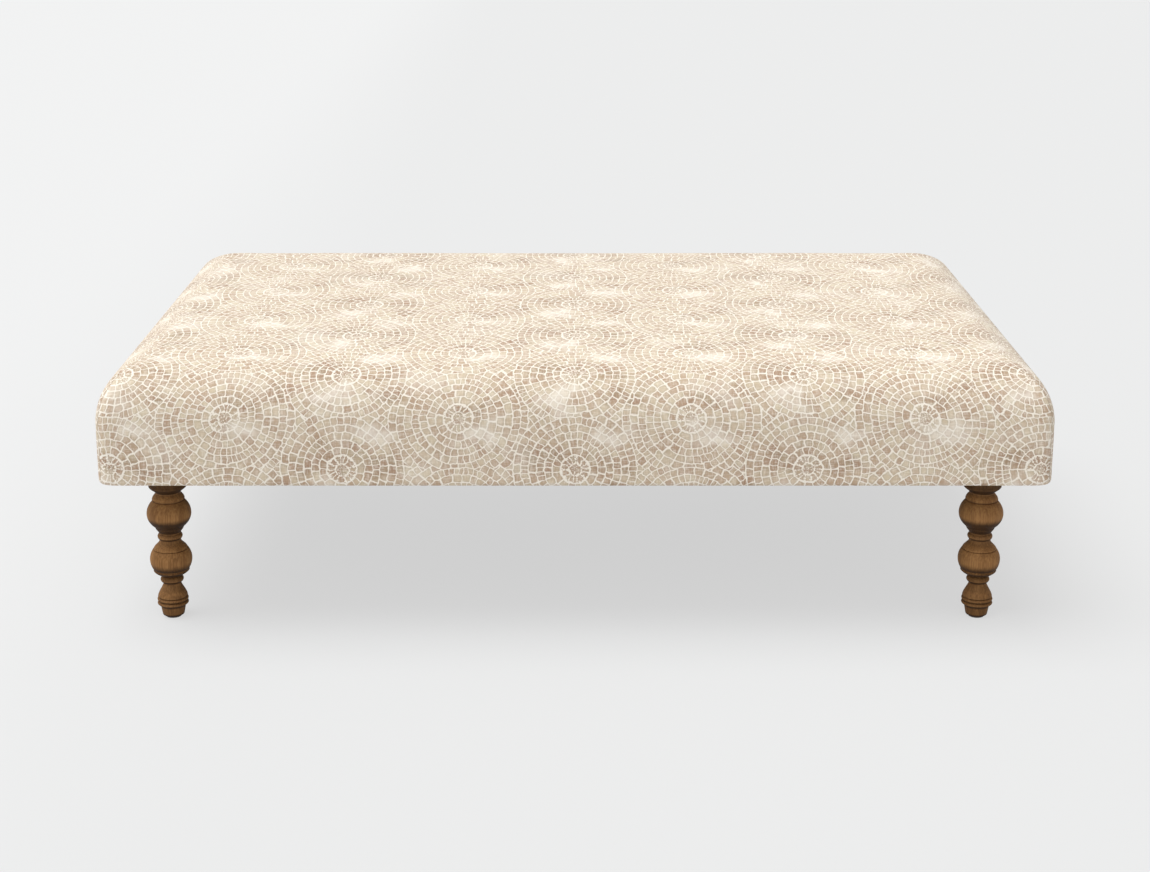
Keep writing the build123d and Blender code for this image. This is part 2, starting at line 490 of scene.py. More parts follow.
def nearest_ring(g, u, v, u_offset, v_offset):
    """The centre of one set whose ring holds a point: where it lies from it, and its rings."""
    column = g.div(g.sub(u, u_offset), column_step)
    row = g.div(g.sub(v, v_offset), 2 * row_step)
    column_number = g.math("ROUND", column)
    row_number = g.math("FLOOR", row)
    du = g.mul(g.sub(column, column_number), column_step)
    low_dv = g.mul(g.sub(row, row_number), 2 * row_step)
    high_dv = g.sub(low_dv, 2 * row_step)
    low = ring_value(g, du, low_dv)
    high = ring_value(g, du, high_dv)
    low_ring = g.math("FLOOR", low)
    high_ring = g.math("FLOOR", high)
    upper = g.math("LESS_THAN", high_ring, low_ring)
    value = g.pick(upper, low, high)
    beside = border(g, upper, low, high, low_ring, high_ring)
    return {
        "du": du,
        "dv": g.pick(upper, low_dv, high_dv),
        "column": column_number,
        "row": g.add(row_number, upper),
        "value": value,
        "ring": g.math("FLOOR", value),
        "border": beside,
    }


def ring_value(g, du, dv):
    """How many rings out from a centre a point lies."""
    away = g.math("SQRT", g.add(g.mul(du, du), g.mul(dv, dv)))
    shift = g.between(away, 0.5 * ring_step, 1.5 * ring_step, 2 * ring_shift, ring_shift)
    return g.add(g.div(away, ring_step), shift)


def border(g, second, first_value, second_value, first_ring, second_ring):
    """Distance to the other centre's ring, where that ring cuts this centre's stones."""
    tie = g.math("COMPARE", first_ring, g.add(second_ring, second), same_ring)
    other = g.pick(second, second_value, first_value)
    share = g.mul(g.math("FRACT", other), ring_step)
    return g.pick(tie, far_off, share)


def line_distance(g, value, width):
    """Distance from the nearest of evenly spaced lines at whole values."""
    share = g.math("FRACT", value)
    share = g.sub(0.5, g.math("ABSOLUTE", g.sub(share, 0.5)))
    return g.mul(share, width)


def shaken(g, place, scale, reach):
    """Moves a place about by smooth noise, so that no line is ruled."""
    _, drift = g.noise(place, scale, 1.0)
    drift = g.vector_math("SUBTRACT", drift, (0.5, 0.5, 0.5))
    return g.vector_math("ADD", place, g.vector_math("MULTIPLY", drift, reach))


def mosaic(g, place):
    """How much grout shows, how near a stone's rim the place is, and the stone's random values."""
    place = shaken(g, shaken(g, place, *sway), *tremble)
    u, v, _ = g.split(place)
    first = nearest_ring(g, u, v, column_step / 2, first_row + row_step)
    second = nearest_ring(g, u, v, 0.0, first_row)
    other = g.math("LESS_THAN", second["ring"], first["ring"])
    beside = border(g, other, first["value"], second["value"], first["ring"], second["ring"])
    chosen = {key: g.pick(other, first[key], second[key]) for key in first}
    column = g.add(g.mul(chosen["column"], 2.0), other)
    row = g.add(g.mul(chosen["row"], 2.0), other)
    ring, value = chosen["ring"], chosen["value"]

    turn, _ = g.hash(g.vector(column, row, ring))
    stretch = g.add(stone_narrow, g.mul(turn, stone_wide - stone_narrow))
    stretch = g.between(ring, *rosette_ends, rosette_stone, stretch)
    girth = g.mul(g.add(ring, 0.5 - ring_shift), 2 * math.pi * ring_step)
    stones = g.math("MAXIMUM", g.math("ROUND", g.div(girth, stretch)), 1.0)
    angle = g.div(g.math("ARCTAN2", chosen["dv"], chosen["du"]), 2 * math.pi)
    phase = g.add(g.mul(angle, 6 * math.pi), g.mul(turn, stone_spread_turn))
    angle = g.add(angle, g.mul(g.math("SINE", phase), stone_spread))
    angle = g.add(angle, g.mul(turn, stone_start_turn))
    stone_value = g.mul(g.math("FRACT", g.add(angle, 2.0)), stones)
    stone = g.math("FLOOR", stone_value)
    wide = g.between(value, *rosette_grout_ends, rosette_grout, 0.0)
    to_ring = g.sub(line_distance(g, value, ring_step), wide)
    to_side = line_distance(g, stone_value, g.div(girth, stones))
    to_side = g.add(to_side, g.between(value, *disc_side_ends, far_off, 0.0))
    distance = g.math("SMOOTH_MIN", to_ring, to_side, stone_corner)
    band = g.mul(g.sub(rosette_band, value), ring_step)
    band = g.math("MAXIMUM", band, -band_depth)
    band = g.add(band, g.between(value, *band_ends, 0.0, far_off))
    disc = g.between(value, *disc_ends, disc_depth, far_off)
    distance = g.math("MINIMUM", distance, g.math("MINIMUM", band, disc))
    beside = g.math("MINIMUM", beside, chosen["border"])
    distance = g.math("SMOOTH_MIN", distance, beside, stone_corner)
    ragged, _ = g.noise(place, mottle_scale, 1.0)
    mottle = g.between(value, *mottle_reach)
    distance = g.add(distance, g.mul(g.sub(ragged, mottle_middle), mottle))
    grout = g.between(distance, grout_width - grout_blur, grout_width + grout_blur, 1.0, 0.0)
    part = g.add(g.mul(ring, ring_key), stone)
    tone, tones = g.hash(g.vector(part, column, row))
    rim = g.between(distance, grout_width + grout_blur, grout_width + rim_width, 1.0, 0.0)
    return grout, rim, tone, tones


# Patches: how uneven they are, their centre beside a rosette, and their reach

patch_sway = (30.0, (0.065, 0.065, 0.0))
patch_break_scale = 75.0
patch_break = (0.35, 0.60, 0.68, 1.0)
patch_edge = (0.1, 1.0, 1.0, 0.0)


def patch(g, place, centre_u, centre_v, wide, high):
    """A soft patch that comes back with each repeat of the print, at a place beside a rosette."""
    u, v, _ = g.split(shaken(g, place, *patch_sway))
    broken, _ = g.noise(place, patch_break_scale)
    shares = []
    for value, centre, repeat, extent in (
        (u, centre_u, column_step, wide),
        (v, centre_v + first_row, 2 * row_step, high),
    ):
        turn = g.div(g.sub(value, centre), repeat)
        off = g.sub(turn, g.math("ROUND", turn))
        off = g.mul(off, repeat / extent)
        shares.append(g.mul(off, off))
    soft = g.between(g.math("SQRT", g.add(*shares)), *patch_edge)
    return g.mul(soft, g.between(broken, *patch_break))


dark_patches = (
    (-0.028, 0.014, 0.092, 0.036),
    (0.052, 0.004, 0.050, 0.020),
    (0.062, 0.109, 0.048, 0.021),
    (0.178, 0.092, 0.060, 0.017),
    (0.232, 0.112, 0.034, 0.026),
)
pale_patches = (
    (0.046, 0.050, 0.044, 0.023),
    (0.190, 0.052, 0.050, 0.021),
    (-0.022, 0.104, 0.038, 0.027),
)
stone_dark = colour(0.368, 0.264, 0.178)
patch_colour = colour(0.405, 0.268, 0.176)
stone_mid = colour(0.650, 0.500, 0.360)
stone_light = colour(0.830, 0.690, 0.535)
grout_colour = colour(0.975, 0.905, 0.810)
thread_shade = colour(0.400, 0.310, 0.230)
stone_pink = colour(1.000, 0.900, 0.875)
stone_green = colour(0.935, 1.000, 0.955)
thread_step = 0.0011
seam_width = 0.0007
seam_dip = 0.0022
seam_stop = 0.012
seam_fade = 0.004

# Noise of the paler and darker parts: scale, detail and roughness
fade_noise = (11.0, 3.0, 0.55)
fade_range = (0.52, 0.74, 0.0, 0.45)
deep_noise = (16.0, 3.0, 0.55)
deep_range = (0.52, 0.72, 0.0, 0.35)
deep_shift = (3.7, 1.9, 0.0)

# Streaks along both threads: steps per metre over the cloth and up it
brush_weft = (90.0, 420.0, 1.0)
brush_warp = (420.0, 90.0, 1.0)
slub_weft = (35.0, 900.0, 1.0)
slub_warp = (900.0, 45.0, 1.0)
wear_range = (0.42, 0.72, 0.0, 0.55)
slub_range = (0.40, 0.75, 0.0, 0.22)
weft_share = 0.6
warp_share = 0.4

# How strongly each layer of the print shows
mid_share = 0.55
rim_share = 0.30
hue_share = 0.7
fade_share = 0.62
grout_share = 0.94
seam_share = 0.75

# The cloth's relief and finish
weave_height = 0.35
slub_height = 1.3
seam_height = 3.0
cloth_bump = (0.4, 0.0004)
cloth_roughness = 0.92
cloth_sheen = 0.10
sheen_roughness = 0.5
low_specular = 0.2


def fabric_material():
    """Printed linen: a pebble mosaic in beige on cream, with slubs and worn-looking patches."""
    g = Graph(bpy.data.materials.new("printed_linen"))
    corner = g.attribute("cloth_corner")
    place = g.pick_vector(
        g.math("GREATER_THAN", corner, 0.0),
        g.attribute("cloth_long", "Vector"),
        g.attribute("cloth_end", "Vector"),
    )
    grout, rim, tone, tones = mosaic(g, place)

    faded = g.between(g.noise(place, *fade_noise)[0], *fade_range)
    for pale in pale_patches:
        faded = g.math("MAXIMUM", faded, patch(g, place, *pale))
    shadows, _ = g.noise(g.vector_math("ADD", place, deep_shift), *deep_noise)
    deep = g.between(shadows, *deep_range)
    for dark in dark_patches:
        deep = g.math("MAXIMUM", deep, patch(g, place, *dark))
    brushed = g.streaks(place, brush_weft)
    combed = g.streaks(place, brush_warp)
    weft = g.streaks(place, slub_weft)
    warp = g.streaks(place, slub_warp)

    stone = g.mix(tone, stone_dark, stone_light)
    stone = g.mix(mid_share, stone, stone_mid)
    stone = g.mix(deep, stone, patch_colour)
    stone = g.mix(g.mul(rim, rim_share), stone, stone_dark)
    hue = g.mix(g.split(tones)[0], stone_pink, stone_green)
    stone = g.mix(hue_share, stone, hue, blend="MULTIPLY")
    stone = g.mix(g.mul(faded, fade_share), stone, grout_colour)
    print_wear = g.add(g.mul(brushed, 0.5), g.mul(combed, 0.5))
    stone = g.mix(g.between(print_wear, *wear_range), stone, grout_colour)
    cloth = g.mix(g.mul(grout, grout_share), stone, grout_colour)
    slub = g.add(g.mul(weft, weft_share), g.mul(warp, warp_share))
    cloth = g.mix(g.between(slub, *slub_range), cloth, thread_shade)

    off_seam = g.math("ABSOLUTE", corner)
    inward = g.attribute("cloth_inward")
    sewn = g.between(inward, edge_radius - seam_stop, edge_radius - seam_fade, 1.0, 0.0)
    seam = g.mul(sewn, g.between(off_seam, seam_width / 2, seam_width, 1.0, 0.0))
    dip = g.mul(sewn, g.between(off_seam, 0.0, seam_dip, 1.0, 0.0))
    cloth = g.mix(g.mul(seam, seam_share), cloth, thread_shade)

    u, v, _ = g.split(place)
    across = g.math("SINE", g.mul(u, 2 * math.pi / thread_step))
    along = g.math("SINE", g.mul(v, 2 * math.pi / thread_step))
    weave = g.mul(across, along)
    height = g.add(g.mul(weave, weave_height), g.mul(slub, slub_height))
    height = g.sub(height, g.mul(dip, seam_height))
    return g.surface(
        Base_Color=cloth,
        Roughness=cloth_roughness,
        Sheen_Weight=cloth_sheen,
        Sheen_Roughness=sheen_roughness,
        Specular_IOR_Level=low_specular,
        Normal=g.bump(height, *cloth_bump),
    )


# Plainer materials

wood_wander_scale = 12.0
wood_wander = (0.008, 0.008, 0.02)
broad_grain = (75.0, 75.0, 5.0)
fine_grain = (520.0, 520.0, 9.0)
pore_grain = (1300.0, 1300.0, 60.0)
broad_share = 0.35
fine_share = 0.65
grain_range = (0.34, 0.66)
pore_range = (0.60, 0.72, 0.0, 0.25)
grain_height = 0.6
gloss_spread = 0.12
wood_bump = 0.25
fleck_range = (0.35, 0.65)
cloud_share = 12
cloud_spread = 0.06
fleck_bump = 0.3
middle_range = (0.3, 0.7)


def wood_material(name, dark, light, scale, gloss, depth, along="Z", with_painted_shade=False):
    """Turned or sawn timber with its grain along one axis; if asked, with painted shade below
    swellings, in hollows, at narrow places and at the head, and darker towards the foot.
    """
    g = Graph(bpy.data.materials.new(name))
    x, y, z = g.split(g.coordinate("Object"))
    place = g.vector(*{"X": (y, z, x), "Y": (x, z, y), "Z": (x, y, z)}[along])
    bent = shaken(g, place, wood_wander_scale * scale, wood_wander)
    broad = g.streaks(bent, broad_grain, scale)
    fine = g.streaks(bent, fine_grain, scale, 3.0, 0.6)
    pores = g.streaks(bent, pore_grain, scale, 1.0)
    grain = g.add(g.mul(broad, broad_share), g.mul(fine, fine_share))
    wood = g.mix(g.between(grain, *grain_range), dark, light)
    pore = g.between(pores, *pore_range)
    wood = g.mix(pore, wood, dark)
    # Painted shade from the leg's vertices, joined with the darkening towards the foot
    if with_painted_shade:
        foot = g.between(z, 0.0, foot_darkening_top, foot_darkening, 0.0)
        painted_shade = g.math("MAXIMUM", g.attribute("painted_shade"), foot)
        wood = g.mix(painted_shade, wood, painted_shade_colour, blend="MULTIPLY")
    height = g.sub(g.mul(fine, grain_height), pore)
    return g.surface(
        Base_Color=wood,
        Roughness=g.between(fine, *middle_range, gloss, gloss + gloss_spread),
        Specular_IOR_Level=low_specular,
        Normal=g.bump(height, wood_bump, depth),
    )


def speckled_material(name, base, accent, scale, rough, depth, metal=0.0):
    """Moulded, felted or plated surface with a fine grain of its own."""
    g = Graph(bpy.data.materials.new(name))
    place = g.coordinate("Object")
    grain, _ = g.noise(place, scale, 3.0, 0.6)
    broad, _ = g.noise(place, scale / cloud_share)
    return g.surface(
        Base_Color=g.mix(g.between(grain, *fleck_range), base, accent),
        Roughness=g.between(broad, *middle_range, rough - cloud_spread, rough + cloud_spread),
        Metallic=metal,
        Normal=g.bump(grain, fleck_bump, depth),
    )


# Legs: a turning from the foot up, in steps of its profile

foot_bottom_radius = 0.0140
foot_radius = 0.0155
foot_edge = 0.0016
foot_top_radius = 0.0180
foot_height = 0.0130
groove_depth = 0.0011
groove_gap = 0.0004
bead_radius = 0.0203
bead_height = 0.0055
bead_bulge = 0.0018
bell_radius = 0.0211
bell_height = 0.0204
collar_radius = 0.0121
collar_height = 0.0104
collar_bulge = 0.0043
neck_height = 0.0009
lip_rise = 0.0074
lip_radius = 0.0253
lip_height = 0.0010
ball_radius = 0.0298
ball_lower = 0.0280
ball_upper = 0.0266
ball_foot_radius = 0.0246
ball_top_radius = 0.0248
shoulder_radius = 0.0241
shoulder_height = 0.0131
waist_radius = 0.0150
waist_gap = 0.0010
waist_bead_height = 0.0086
waist_bead_bulge = 0.0027
cup_radius = 0.0208
cup_height = 0.0100
upper_foot_radius = 0.0216
upper_radius = 0.0313
upper_lower = 0.0256
upper_upper = 0.0275
upper_top_radius = 0.0224
cap_groove_radius = 0.0214
cap_groove_height = 0.0012
cap_radius = 0.0230
cap_edge = 0.0020
cap_height = 0.0094
cap_neck_radius = 0.0178
cap_neck_height = 0.0010
flange_radius = 0.0268
flange_rise = 0.0092
flange_edge = 0.0040
head_radius = 0.0280
leg_inset = 0.0825
# The leg's wood grows darker towards the foot, fading out at the given height
foot_darkening = 0.42
foot_darkening_top = 0.07
# Painted shade on the legs, below swellings, in hollows and grooves, at narrow places and at the
# head under the slab: its colour, and how far along and how deep the profile is read for it
painted_shade_colour = colour(0.15, 0.125, 0.085)
shade_reach = 0.0026
shade_hollow_depth = 0.0014
leg_segments = 96
step_points = 14
straight_step = 0.0016
narrow_radius = 0.0205
narrow_reach = 0.0040
slope_start = 0.06
slope_reach = 0.45
# How strongly the painted shade darkens hollows, narrow places and the head under the slab
hollow_shade = 0.55
narrow_shade = 0.35
head_shade = 0.8
head_reach = 1.5
bead_power = 0.7
crisp_angle = 28

# Handles of the profile's curves, in radius and height
foot_handles = ((0.0010, 0.0), (0.0001, 0.0010))
bell_handles = ((0.0, 0.0050), (-0.0016, 0.0060))
lip_handles = ((0.0040, 0.0004), (0.0030, 0.0040))
shoulder_handles = ((-0.0010, 0.0046), (-0.0006, 0.0058))
cup_handles = ((0.0016, 0.0030), (0.0008, 0.0040))
cap_handles = ((0.0, 0.0022), (-0.0014, 0.0020))
flange_handles = ((0.0004, 0.0030), (0.0016, 0.0032))
flange_edge_handles = ((0.0004, 0.0016), (-0.0002, 0.0012))


def straight(start, end):
    """Profile step: a plain cut."""
    count = max(1, round(math.dist(start, end) / straight_step))
    return [tuple(a + (b - a) * i / count for a, b in zip(start, end)) for i in range(1, count + 1)]


def swell(start, end, bulge):
    """Profile step: a round bead, proud of the straight line by its bulge."""
    (r0, z0), (r1, z1) = start, end
    length = math.hypot(r1 - r0, z1 - z0)
    out = ((z1 - z0) / length, -(r1 - r0) / length)
    points = []
    for i in range(1, step_points + 1):
        t = i / step_points
        lift = bulge * math.sin(math.pi * t) ** bead_power
        points.append((r0 + (r1 - r0) * t + out[0] * lift, z0 + (z1 - z0) * t + out[1] * lift))
    return points


def sweep(start, end, leave, arrive):
    """Profile step: a curve that leaves and arrives by given handles, in radius and height."""
    first = (start[0] + leave[0], start[1] + leave[1])
    second = (end[0] - arrive[0], end[1] - arrive[1])
    points = []
    for i in range(1, step_points + 1):
        t = i / step_points
        shares = ((1 - t) ** 3, 3 * t * (1 - t) ** 2, 3 * t * t * (1 - t), t**3)
        rows = zip(start, first, second, end)
        points.append(tuple(sum(k * p for k, p in zip(shares, row)) for row in rows))
    return points


def ball(start_z, start_radius, end_radius, radius, lower, upper):
    """Profile step: a ball between two radii, with its own height below and above its middle."""
    start_angle = -math.acos(start_radius / radius)
    end_angle = math.acos(end_radius / radius)
    middle = start_z - lower * math.sin(start_angle)
    points = []
    for i in range(3 * step_points + 1):
        angle = start_angle + (end_angle - start_angle) * i / (3 * step_points)
        height = lower if angle < 0 else upper
        points.append((radius * math.cos(angle), middle + height * math.sin(angle)))
    return points


def leg_profile():
    """Radius and height of the leg's outside, from the middle of the foot to the head."""
    points = [(0.0, leg_bottom), (foot_bottom_radius, leg_bottom)]

    def go(step, radius, rise, *handles):
        start = points[-1]
        points.extend(step(start, (radius, start[1] + rise), *handles))

    def groove(radius):
        go(straight, radius - groove_depth, groove_gap / 2)
        go(straight, radius - groove_depth, groove_gap)

    go(sweep, foot_radius, foot_edge, *foot_handles)
    go(straight, foot_top_radius, foot_height)
    for _ in range(2):
        groove(bead_radius)
        go(swell, bead_radius - groove_depth, bead_height, bead_bulge + groove_depth)
    groove(bead_radius)
    go(straight, bell_radius, groove_gap)
    go(sweep, collar_radius, bell_height, *bell_handles)
    go(swell, collar_radius, collar_height, collar_bulge)
    go(straight, collar_radius, neck_height)
    go(sweep, lip_radius, lip_rise, *lip_handles)
    go(straight, lip_radius, lip_height)
    go(straight, lip_radius - groove_gap, groove_gap)
    ball_start = points[-1][1] + groove_gap / 2
    ball_radii = (ball_foot_radius, ball_top_radius, ball_radius)
    points.extend(ball(ball_start, *ball_radii, ball_lower, ball_upper))
    groove(shoulder_radius)
    go(straight, shoulder_radius, groove_gap / 2)
    go(sweep, waist_radius, shoulder_height, *shoulder_handles)
    go(straight, waist_radius, waist_gap)
    go(swell, waist_radius, waist_bead_height, waist_bead_bulge)
    go(straight, waist_radius, waist_gap)
    go(sweep, cup_radius, cup_height, *cup_handles)
    upper_start = points[-1][1] + groove_gap
    upper_radii = (upper_foot_radius, upper_top_radius, upper_radius)
    points.extend(ball(upper_start, *upper_radii, upper_lower, upper_upper))
    go(straight, cap_groove_radius, groove_gap / 2)
    go(straight, cap_groove_radius, cap_groove_height)
    go(straight, cap_radius - groove_gap, groove_gap / 2)
    go(swell, cap_radius - groove_gap, cap_edge, groove_gap)
    go(sweep, cap_neck_radius, cap_height - cap_edge, *cap_handles)
    go(straight, cap_neck_radius, cap_neck_height)
    go(sweep, flange_radius, flange_rise, *flange_handles)
    go(sweep, flange_radius - groove_gap, flange_edge, *flange_edge_handles)
    go(straight, head_radius, groove_gap)
    points.append((head_radius, leg_top))
    points.append((0.0, leg_top))
    return points


def turned_mesh(name, profile, segments):
    """A closed mesh turned about the vertical axis."""
    rings = [p for p in profile if p[0] > 0]
    points = [(0.0, 0.0, profile[0][1])]
    for radius, height in rings:
        for i in range(segments):
            angle = 2 * math.pi * i / segments
            points.append((radius * math.cos(angle), radius * math.sin(angle), height))
    points.append((0.0, 0.0, profile[-1][1]))
    faces = [[0, 1 + (i + 1) % segments, 1 + i] for i in range(segments)]
    for ring in range(len(rings) - 1):
        low = 1 + ring * segments
        for i in range(segments):
            j = (i + 1) % segments
            faces.append([low + i, low + j, low + segments + j, low + segments + i])
    low = 1 + (len(rings) - 1) * segments
    faces += [[low + i, low + (i + 1) % segments, len(points) - 1] for i in range(segments)]
    return mesh_from(name, points, faces)


def sharpen(piece, angle):
    """Keeps edges crisp where faces meet at more than an angle."""
    mesh = bmesh.new()
    mesh.from_mesh(piece.data)
    for edge in mesh.edges:
        edge.smooth = edge.calc_face_angle(0.0) < angle
    mesh.to_mesh(piece.data)
    mesh.free()


def painted_shade_amounts(profile):
    """How much painted shade each step gets: below swellings, in hollows, at narrow places and at
    the head, in the slab's shadow.
    """
    places = np.array(profile)
    runs = np.concatenate([[0], np.cumsum(np.hypot(*np.diff(places, axis=0).T))])
    runs += np.arange(len(runs)) * least_step
    head_start = places[-3, 1] - head_reach * flange_edge
    amounts = []
    for run in runs:
        (r0, z0), (r1, z1) = (
            [np.interp(run + side * shade_reach, runs, column) for column in places.T]
            for side in (-1, 1)
        )
        here = np.interp(run, runs, places[:, 0])
        under = np.clip((r1 - r0) / max(math.hypot(r1 - r0, z1 - z0), tiny), 0, 1)
        hollow = np.clip(((r0 + r1) / 2 - here) / shade_hollow_depth, 0, 1)
        head = np.interp(run, runs, places[:, 1]) > head_start
        narrow = np.clip((narrow_radius - here) / narrow_reach, 0, 1)
        share = np.clip((under - slope_start) / slope_reach, 0, 1)
        slope = share**2 * (3 - 2 * share)
        # Painted shade: below swellings, in hollows, at narrow places, and at the head in the
        # slab's shadow
        amount = max(slope, hollow_shade * hollow, narrow_shade * narrow, head_shade * head)
        amounts.append(float(amount))
    return amounts


def legs(material):
    """Four turned legs, each with its own place in the grain."""
    profile = leg_profile()
    amounts = painted_shade_amounts(profile)
    rings = [amount for (radius, _), amount in zip(profile, amounts) if radius > 0]
    painted_shade = np.concatenate([[amounts[0]], np.repeat(rings, leg_segments), [amounts[-1]]])
    for side, side_name in ((-1, "left"), (1, "right")):
        for end, end_name in ((-1, "front"), (1, "back")):
            name = f"leg_{end_name}_{side_name}"
            mesh = turned_mesh(name, profile, leg_segments)
            points = coordinates(mesh)
            points[:, 0] += side * (half_width - leg_inset)
            points[:, 1] += end * (half_depth - leg_inset)
            mesh.vertices.foreach_set("co", points.ravel())
            # Painted shade for each vertex of the leg
            store(mesh, "painted_shade", painted_shade)
            mesh.update()
            leg = link(name, mesh)
            sharpen(leg, math.radians(crisp_angle))
            paint(leg, material)
            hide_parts("turned_legs")


# Pieces of the upholstery


def cover(material):
    """The printed cover, filled out and turned under at the hem."""
    start = cloth_start
    mesh = slab_mesh("printed_cover", start, hem_bottom, grid_step, hem_width)
    write_cloth(mesh)
    piece = link("printed_cover", mesh)
    soften(piece)
    subdivide(piece, 1)
    paint(piece, material)
    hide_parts("fabric_cover")


def inner_pad(name, node, material, thick=0.0):
    """A hidden soft layer with the slab's own form, closed below or, with a thickness, a skirt."""
    low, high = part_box(node)
    hem = 0.0 if thick else half_width
    mesh = slab_mesh(name, half_width - high.x, low.z, 2 * grid_step, hem)
    piece = link(name, mesh)
    if thick:
        thicken(piece, thick)
    paint(piece, material)
    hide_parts(node)


# Underside: a thin cloth stapled to the rails

batting_thickness = 0.006
dust_step = 0.0127
dust_sag = 0.0012
sag_share = 0.25
sag_ripple = 0.5
sag_waves = (9, 13)
slack_depth = 0.0001
slack_fade = 12
slit_half = 0.0055
slit_clear = 0.002
staple_gap = 0.042
staple_inset = 0.009
staple_length = 0.0095
staple_wire = 0.0010
staple_rise = 0.6
staple_end = 0.4
staple_round = ((-1, 0.0), (-1, 0.7), (0, 1.0), (1, 0.7), (1, 0.0))


def dust_sheet(material):
    """The thin dark cloth below the frame, slit for the leg bolts, slack between its staples."""
    wide, deep = dust_high.x, dust_high.y
    leg_x, leg_y = half_width - leg_inset, half_depth - leg_inset
    lines = []
    for reach, middle in ((wide, leg_x), (deep, leg_y)):
        even = np.linspace(-reach, reach, round(2 * reach / dust_step) + 1)
        even = even[np.abs(np.abs(even) - middle) > slit_half + slit_clear]
        slits = [side * (middle + edge) for side in (-1, 1) for edge in (-slit_half, slit_half)]
        lines.append(np.sort(np.concatenate([even, slits])))
    xs, ys = lines
    places = []
    for x in xs:
        for y in ys:
            inside = max(min(wide - abs(x), deep - abs(y)) / (wide * sag_share), 0.0)
            ripple = sag_ripple * math.sin(sag_waves[0] * x) * math.sin(sag_waves[1] * y)
            sag = dust_sag * min(inside, 1.0) * (1 + ripple)
            wave = 1 + math.sin(2 * math.pi * (x + y) / staple_gap)
            slack = slack_depth * wave * math.exp(-slack_fade * inside)
            places.append((x, y, dust_high.z - skin_gap - sag - slack))
    faces = []
    for i in range(len(xs) - 1):
        for j in range(len(ys) - 1):
            across = abs(abs(xs[i] + xs[i + 1]) / 2 - leg_x)
            along = abs(abs(ys[j] + ys[j + 1]) / 2 - leg_y)
            if across > slit_half or along > slit_half:
                low = i * len(ys) + j
                faces.append([low, low + 1, low + len(ys) + 1, low + len(ys)])
    piece = link("dust_sheet", mesh_from("dust_sheet", places, faces))
    thicken(piece, dust_high.z - dust_low.z)
    paint(piece, material)
    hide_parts("dust_cover")


def staples(material):
    """A row of wire staples along each edge of the dust sheet."""
    places = []
    faces = []
    wide, deep = dust_high.x - staple_inset, dust_high.y - staple_inset

    def bar(x, y, along):
        """One staple's crown, a short round-shouldered bar."""
        low = len(places)
        half = staple_length / 2
        inner = half - staple_wire
        for run, drop in ((-half, staple_end), (-inner, 1.0), (inner, 1.0), (half, staple_end)):
            for side, rise in staple_round:
                offset = side * staple_wire / 2
                dx, dy = (run, offset) if along else (offset, run)
                low_z = dust_low.z - staple_wire * staple_rise * rise * drop
                places.append((x + dx, y + dy, low_z))
        row = len(staple_round)
        last = len(places) - row
        for start in range(low, last, row):
            for a in range(start, start + row - 1):
                faces.append([a, a + 1, a + row + 1, a + row])
        faces.append([low + i for i in range(row)])
        faces.append([last + i for i in reversed(range(row))])

    for reach, other, along in ((wide, deep, True), (deep, wide, False)):
        count = round(2 * reach / staple_gap)
        for i in range(count + 1) if along else range(1, count):
            run = -reach + 2 * reach * i / count
            for side in (-1, 1):
                place = (run, side * other) if along else (side * other, run)
                bar(*place, along)
    mesh = mesh_from("dust_cover_staples", places, faces, smooth=False)
    piece = link("dust_cover_staples", mesh)
    paint(piece, material)


# The room and its light

floor_level = 0.85
floor_bounce = 0.64
floor_seen = 0.18
floor_glow = 0.607
floor_size = 40.0
left_glow = 0.045
left_glow_places = (-1.3, -0.4)
left_glow_ends = (-9.0, -4.5)
front_fill = 0.33
left_fill = 0.19
world_level = 0.46
key_strength = 2.64
key_colour = (0.97, 1.0, 1.0)
key_from = (-0.32, -0.06, 1.0)
key_angle = 50.0


def room():
    """A pale floor, a little brighter on the left, and a world that lights from front and left."""
    floor = mesh_from(
        "floor",
        [(x * floor_size, y * floor_size, 0.0) for x, y in ((-1, -1), (1, -1), (1, 1), (-1, 1))],
        [[0, 1, 2, 3]],
        smooth=False,
    )
    stage = placed("floor", floor)
    g = Graph(bpy.data.materials.new("floor"))
    path = g.node("LightPath").outputs
    seen = g.math("MAXIMUM", path["Is Glossy Ray"], path["Is Transmission Ray"])
    seen = g.math("MAXIMUM", path["Is Camera Ray"], seen)
    albedo = g.pick(seen, floor_bounce, floor_seen)
    g.surface(Base_Color=g.vector(albedo, albedo, albedo), Roughness=1.0, Specular_IOR_Level=0.0)
    across = g.split(g.coordinate("Object"))[0]
    near = g.between(across, *left_glow_ends, 0.0, left_glow)
    level = g.add(floor_glow, g.between(across, *left_glow_places, near, 0.0))
    glow = g.fill(g.node("Emission"), Strength=g.mul(seen, level))
    both = g.node("AddShader", g.nodes["Principled BSDF"].outputs[0], glow.outputs[0])
    g.fill(g.nodes["Material Output"], Surface=both.outputs[0])
    stage.data.materials.append(g.owner)

    world = bpy.data.worlds.new("world")
    bpy.context.scene.world = world
    g = Graph(world)
    x, y, _ = g.split(g.coordinate("Generated"))
    level = g.add(g.math("MULTIPLY", y, -front_fill, clamp=True), world_level)
    level = g.add(g.mul(x, -left_fill), level)
    light = g.fill(g.nodes["Background"], Color=colour(1.0, 1.0, 1.0), Strength=level)
    shown = g.fill(g.node("Background"), Color=colour(floor_level, floor_level, floor_level))
    path = g.node("LightPath").outputs
    mixed = g.node("MixShader", path["Is Camera Ray"], light.outputs[0], shown.outputs[0])
    g.fill(g.nodes["World Output"], Surface=mixed.outputs[0])


